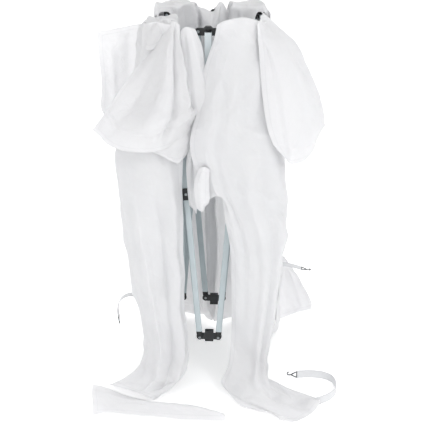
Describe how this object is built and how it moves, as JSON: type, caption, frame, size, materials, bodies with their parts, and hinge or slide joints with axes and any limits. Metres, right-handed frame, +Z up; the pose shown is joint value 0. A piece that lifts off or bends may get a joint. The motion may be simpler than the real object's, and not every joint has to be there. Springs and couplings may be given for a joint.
{
  "type": "pop-up canopy frame with cloth cover",
  "caption": "Square pop-up canopy frame folded upright, with scissor bars, sliding collars and telescoping legs, and a loose white cloth cover hanging on its corners.",
  "frame": {"origin": "on the ground at the frame's vertical axis, midway between the four legs", "axes": "+X to the right along the front, +Y to the back, +Z up"},
  "size_m": [1.1262, 1.056, 1.5859],
  "materials": {
    "painted_tube": "powder-coated pale grey steel tube",
    "nylon_joint": "moulded black nylon",
    "cover_cloth": "white coated polyester",
    "webbing": "white polyester webbing",
    "hook_steel": "dull zinc-plated steel"
  },
  "bodies": {
    "leg_front_left": {"outer_leg_front_left": "painted_tube", "corner_bracket_front_left": "nylon_joint", "cover_front_left": "cover_cloth"},
    "slider_front_left": {"slider_front_left": "nylon_joint"},
    "inner_leg_front_left": {"inner_leg_front_left": "painted_tube", "foot_front_left": "nylon_joint"},
    "leg_front_right": {"outer_leg_front_right": "painted_tube", "corner_bracket_front_right": "nylon_joint", "cover_front_right": "cover_cloth", "strap_front_right": "webbing", "strap_hook_front_right": "hook_steel"},
    "slider_front_right": {"slider_front_right": "nylon_joint"},
    "inner_leg_front_right": {"inner_leg_front_right": "painted_tube", "foot_front_right": "nylon_joint"},
    "leg_back_right": {"outer_leg_back_right": "painted_tube", "corner_bracket_back_right": "nylon_joint", "cover_back_right": "cover_cloth", "strap_back_right": "webbing", "strap_hook_back_right": "hook_steel"},
    "slider_back_right": {"slider_back_right": "nylon_joint"},
    "inner_leg_back_right": {"inner_leg_back_right": "painted_tube", "foot_back_right": "nylon_joint"},
    "leg_back_left": {"outer_leg_back_left": "painted_tube", "corner_bracket_back_left": "nylon_joint", "cover_back_left": "cover_cloth", "strap_back_left": "webbing", "strap_hook_back_left": "hook_steel"},
    "slider_back_left": {"slider_back_left": "nylon_joint"},
    "inner_leg_back_left": {"inner_leg_back_left": "painted_tube", "foot_back_left": "nylon_joint"},
    "bar_start_high_front": {"bar_start_high_front": "painted_tube"},
    "bar_start_low_front": {"bar_start_low_front": "painted_tube"},
    "bar_end_low_front": {"bar_end_low_front": "painted_tube"},
    "bar_end_high_front": {"bar_end_high_front": "painted_tube"},
    "mid_joint_lower_front": {"mid_joint_lower_front": "nylon_joint"},
    "mid_joint_upper_front": {"mid_joint_upper_front": "nylon_joint", "ridge_post_front": "painted_tube", "ridge_cap_front": "nylon_joint"},
    "bar_start_high_right": {"bar_start_high_right": "painted_tube"},
    "bar_start_low_right": {"bar_start_low_right": "painted_tube"},
    "bar_end_low_right": {"bar_end_low_right": "painted_tube"},
    "bar_end_high_right": {"bar_end_high_right": "painted_tube"},
    "mid_joint_lower_right": {"mid_joint_lower_right": "nylon_joint"},
    "mid_joint_upper_right": {"mid_joint_upper_right": "nylon_joint"},
    "bar_start_high_back": {"bar_start_high_back": "painted_tube"},
    "bar_start_low_back": {"bar_start_low_back": "painted_tube"},
    "bar_end_low_back": {"bar_end_low_back": "painted_tube"},
    "bar_end_high_back": {"bar_end_high_back": "painted_tube"},
    "mid_joint_lower_back": {"mid_joint_lower_back": "nylon_joint"},
    "mid_joint_upper_back": {"mid_joint_upper_back": "nylon_joint", "ridge_post_back": "painted_tube", "ridge_cap_back": "nylon_joint"},
    "bar_start_high_left": {"bar_start_high_left": "painted_tube"},
    "bar_start_low_left": {"bar_start_low_left": "painted_tube"},
    "bar_end_low_left": {"bar_end_low_left": "painted_tube"},
    "bar_end_high_left": {"bar_end_high_left": "painted_tube"},
    "mid_joint_lower_left": {"mid_joint_lower_left": "nylon_joint"},
    "mid_joint_upper_left": {"mid_joint_upper_left": "nylon_joint"}
  },
  "joints": [
    {"name": "frame_fold", "type": "hinge", "parent": "leg_front_left", "child": "bar_start_high_front", "pos_m": [-0.148, -0.19, 1.555], "axis": [0, -1, 0], "range_deg": [0, 64]},
    {"name": "front_lower_joint_start_pivot", "type": "hinge", "parent": "bar_start_high_front", "child": "mid_joint_lower_front", "pos_m": [-0.041, -0.19, 0.20724], "axis": [0, 1, 0], "range_deg": [0, 64]},
    {"name": "front_lower_joint_end_pivot", "type": "hinge", "parent": "mid_joint_lower_front", "child": "bar_end_high_front", "pos_m": [0.041, -0.19, 0.20724], "axis": [0, 1, 0], "range_deg": [0, 64]},
    {"name": "front_end_top_pivot", "type": "hinge", "parent": "bar_end_high_front", "child": "leg_front_right", "pos_m": [0.148, -0.19, 1.555], "axis": [0, -1, 0], "range_deg": [0, 64]},
    {"name": "front_start_cross_pivot", "type": "hinge", "parent": "bar_start_high_front", "child": "bar_start_low_front", "pos_m": [-0.0945, -0.19, 0.88112], "axis": [0, 1, 0], "range_deg": [0, 128]},
    {"name": "front_upper_joint_start_pivot", "type": "hinge", "parent": "bar_start_low_front", "child": "mid_joint_upper_front", "pos_m": [-0.041, -0.19, 1.555], "axis": [0, -1, 0], "range_deg": [0, 64]},
    {"name": "front_end_cross_pivot", "type": "hinge", "parent": "bar_end_high_front", "child": "bar_end_low_front", "pos_m": [0.0945, -0.19, 0.88112], "axis": [0, -1, 0], "range_deg": [0, 128]},
    {"name": "front_start_slider_pivot", "type": "hinge", "parent": "bar_start_low_front", "child": "slider_front_left", "pos_m": [-0.148, -0.19, 0.20724], "axis": [0, -1, 0], "range_deg": [0, 64]},
    {"name": "front_end_slider_pivot", "type": "hinge", "parent": "bar_end_low_front", "child": "slider_front_right", "pos_m": [0.148, -0.19, 0.20724], "axis": [0, 1, 0], "range_deg": [0, 64]},
    {"name": "right_start_top_pivot", "type": "hinge", "parent": "leg_front_right", "child": "bar_start_high_right", "pos_m": [0.19, -0.148, 1.555], "axis": [1, 0, 0], "range_deg": [0, 64]},
    {"name": "right_lower_joint_start_pivot", "type": "hinge", "parent": "bar_start_high_right", "child": "mid_joint_lower_right", "pos_m": [0.19, -0.041, 0.20724], "axis": [-1, 0, 0], "range_deg": [0, 64]},
    {"name": "right_lower_joint_end_pivot", "type": "hinge", "parent": "mid_joint_lower_right", "child": "bar_end_high_right", "pos_m": [0.19, 0.041, 0.20724], "axis": [-1, 0, 0], "range_deg": [0, 64]},
    {"name": "right_end_top_pivot", "type": "hinge", "parent": "bar_end_high_right", "child": "leg_back_right", "pos_m": [0.19, 0.148, 1.555], "axis": [1, 0, 0], "range_deg": [0, 64]},
    {"name": "right_start_cross_pivot", "type": "hinge", "parent": "bar_start_high_right", "child": "bar_start_low_right", "pos_m": [0.19, -0.0945, 0.88112], "axis": [-1, 0, 0], "range_deg": [0, 128]},
    {"name": "right_upper_joint_start_pivot", "type": "hinge", "parent": "bar_start_low_right", "child": "mid_joint_upper_right", "pos_m": [0.19, -0.041, 1.555], "axis": [1, 0, 0], "range_deg": [0, 64]},
    {"name": "right_end_cross_pivot", "type": "hinge", "parent": "bar_end_high_right", "child": "bar_end_low_right", "pos_m": [0.19, 0.0945, 0.88112], "axis": [1, 0, 0], "range_deg": [0, 128]},
    {"name": "right_end_slider_pivot", "type": "hinge", "parent": "bar_end_low_right", "child": "slider_back_right", "pos_m": [0.19, 0.148, 0.20724], "axis": [-1, 0, 0], "range_deg": [0, 64]},
    {"name": "left_end_top_pivot", "type": "hinge", "parent": "leg_front_left", "child": "bar_end_high_left", "pos_m": [-0.19, -0.148, 1.555], "axis": [1, 0, 0], "range_deg": [0, 64]},
    {"name": "left_lower_joint_end_pivot", "type": "hinge", "parent": "bar_end_high_left", "child": "mid_joint_lower_left", "pos_m": [-0.19, -0.041, 0.20724], "axis": [-1, 0, 0], "range_deg": [0, 64]},
    {"name": "left_lower_joint_start_pivot", "type": "hinge", "parent": "mid_joint_lower_left", "child": "bar_start_high_left", "pos_m": [-0.19, 0.041, 0.20724], "axis": [-1, 0, 0], "range_deg": [0, 64]},
    {"name": "left_start_top_pivot", "type": "hinge", "parent": "bar_start_high_left", "child": "leg_back_left", "pos_m": [-0.19, 0.148, 1.555], "axis": [1, 0, 0], "range_deg": [0, 64]},
    {"name": "left_end_cross_pivot", "type": "hinge", "parent": "bar_end_high_left", "child": "bar_end_low_left", "pos_m": [-0.19, -0.0945, 0.88112], "axis": [-1, 0, 0], "range_deg": [0, 128]},
    {"name": "left_upper_joint_end_pivot", "type": "hinge", "parent": "bar_end_low_left", "child": "mid_joint_upper_left", "pos_m": [-0.19, -0.041, 1.555], "axis": [1, 0, 0], "range_deg": [0, 64]},
    {"name": "left_start_cross_pivot", "type": "hinge", "parent": "bar_start_high_left", "child": "bar_start_low_left", "pos_m": [-0.19, 0.0945, 0.88112], "axis": [1, 0, 0], "range_deg": [0, 128]},
    {"name": "left_start_slider_pivot", "type": "hinge", "parent": "bar_start_low_left", "child": "slider_back_left", "pos_m": [-0.19, 0.148, 0.20724], "axis": [-1, 0, 0], "range_deg": [0, 64]},
    {"name": "back_start_top_pivot", "type": "hinge", "parent": "leg_back_right", "child": "bar_start_high_back", "pos_m": [0.148, 0.19, 1.555], "axis": [0, 1, 0], "range_deg": [0, 64]},
    {"name": "back_lower_joint_start_pivot", "type": "hinge", "parent": "bar_start_high_back", "child": "mid_joint_lower_back", "pos_m": [0.041, 0.19, 0.20724], "axis": [0, -1, 0], "range_deg": [0, 64]},
    {"name": "back_lower_joint_end_pivot", "type": "hinge", "parent": "mid_joint_lower_back", "child": "bar_end_high_back", "pos_m": [-0.041, 0.19, 0.20724], "axis": [0, -1, 0], "range_deg": [0, 64]},
    {"name": "back_start_cross_pivot", "type": "hinge", "parent": "bar_start_high_back", "child": "bar_start_low_back", "pos_m": [0.0945, 0.19, 0.88112], "axis": [0, -1, 0], "range_deg": [0, 128]},
    {"name": "back_upper_joint_start_pivot", "type": "hinge", "parent": "bar_start_low_back", "child": "mid_joint_upper_back", "pos_m": [0.041, 0.19, 1.555], "axis": [0, 1, 0], "range_deg": [0, 64]},
    {"name": "back_end_cross_pivot", "type": "hinge", "parent": "bar_end_high_back", "child": "bar_end_low_back", "pos_m": [-0.0945, 0.19, 0.88112], "axis": [0, 1, 0], "range_deg": [0, 128]},
    {"name": "leg_extension_front_left", "type": "slide", "parent": "leg_front_left", "child": "inner_leg_front_left", "axis": [0, 0, -1], "range_m": [0, 0.82]},
    {"name": "leg_extension_front_right", "type": "slide", "parent": "leg_front_right", "child": "inner_leg_front_right", "axis": [0, 0, -1], "range_m": [0, 0.82]},
    {"name": "leg_extension_back_right", "type": "slide", "parent": "leg_back_right", "child": "inner_leg_back_right", "axis": [0, 0, -1], "range_m": [0, 0.82]},
    {"name": "leg_extension_back_left", "type": "slide", "parent": "leg_back_left", "child": "inner_leg_back_left", "axis": [0, 0, -1], "range_m": [0, 0.82]}
  ],
  "couplings": [
    {"joint": "front_lower_joint_start_pivot", "follows": "frame_fold", "ratio": 1},
    {"joint": "front_lower_joint_end_pivot", "follows": "frame_fold", "ratio": 1},
    {"joint": "front_end_top_pivot", "follows": "frame_fold", "ratio": 1},
    {"joint": "front_start_cross_pivot", "follows": "frame_fold", "ratio": 2},
    {"joint": "front_upper_joint_start_pivot", "follows": "frame_fold", "ratio": 1},
    {"joint": "front_end_cross_pivot", "follows": "frame_fold", "ratio": 2},
    {"joint": "front_start_slider_pivot", "follows": "frame_fold", "ratio": 1},
    {"joint": "front_end_slider_pivot", "follows": "frame_fold", "ratio": 1},
    {"joint": "right_start_top_pivot", "follows": "frame_fold", "ratio": 1},
    {"joint": "right_lower_joint_start_pivot", "follows": "frame_fold", "ratio": 1},
    {"joint": "right_lower_joint_end_pivot", "follows": "frame_fold", "ratio": 1},
    {"joint": "right_end_top_pivot", "follows": "frame_fold", "ratio": 1},
    {"joint": "right_start_cross_pivot", "follows": "frame_fold", "ratio": 2},
    {"joint": "right_upper_joint_start_pivot", "follows": "frame_fold", "ratio": 1},
    {"joint": "right_end_cross_pivot", "follows": "frame_fold", "ratio": 2},
    {"joint": "right_end_slider_pivot", "follows": "frame_fold", "ratio": 1},
    {"joint": "left_end_top_pivot", "follows": "frame_fold", "ratio": 1},
    {"joint": "left_lower_joint_end_pivot", "follows": "frame_fold", "ratio": 1},
    {"joint": "left_lower_joint_start_pivot", "follows": "frame_fold", "ratio": 1},
    {"joint": "left_start_top_pivot", "follows": "frame_fold", "ratio": 1},
    {"joint": "left_end_cross_pivot", "follows": "frame_fold", "ratio": 2},
    {"joint": "left_upper_joint_end_pivot", "follows": "frame_fold", "ratio": 1},
    {"joint": "left_start_cross_pivot", "follows": "frame_fold", "ratio": 2},
    {"joint": "left_start_slider_pivot", "follows": "frame_fold", "ratio": 1},
    {"joint": "back_start_top_pivot", "follows": "frame_fold", "ratio": 1},
    {"joint": "back_lower_joint_start_pivot", "follows": "frame_fold", "ratio": 1},
    {"joint": "back_lower_joint_end_pivot", "follows": "frame_fold", "ratio": 1},
    {"joint": "back_start_cross_pivot", "follows": "frame_fold", "ratio": 2},
    {"joint": "back_upper_joint_start_pivot", "follows": "frame_fold", "ratio": 1},
    {"joint": "back_end_cross_pivot", "follows": "frame_fold", "ratio": 2}
  ]
}
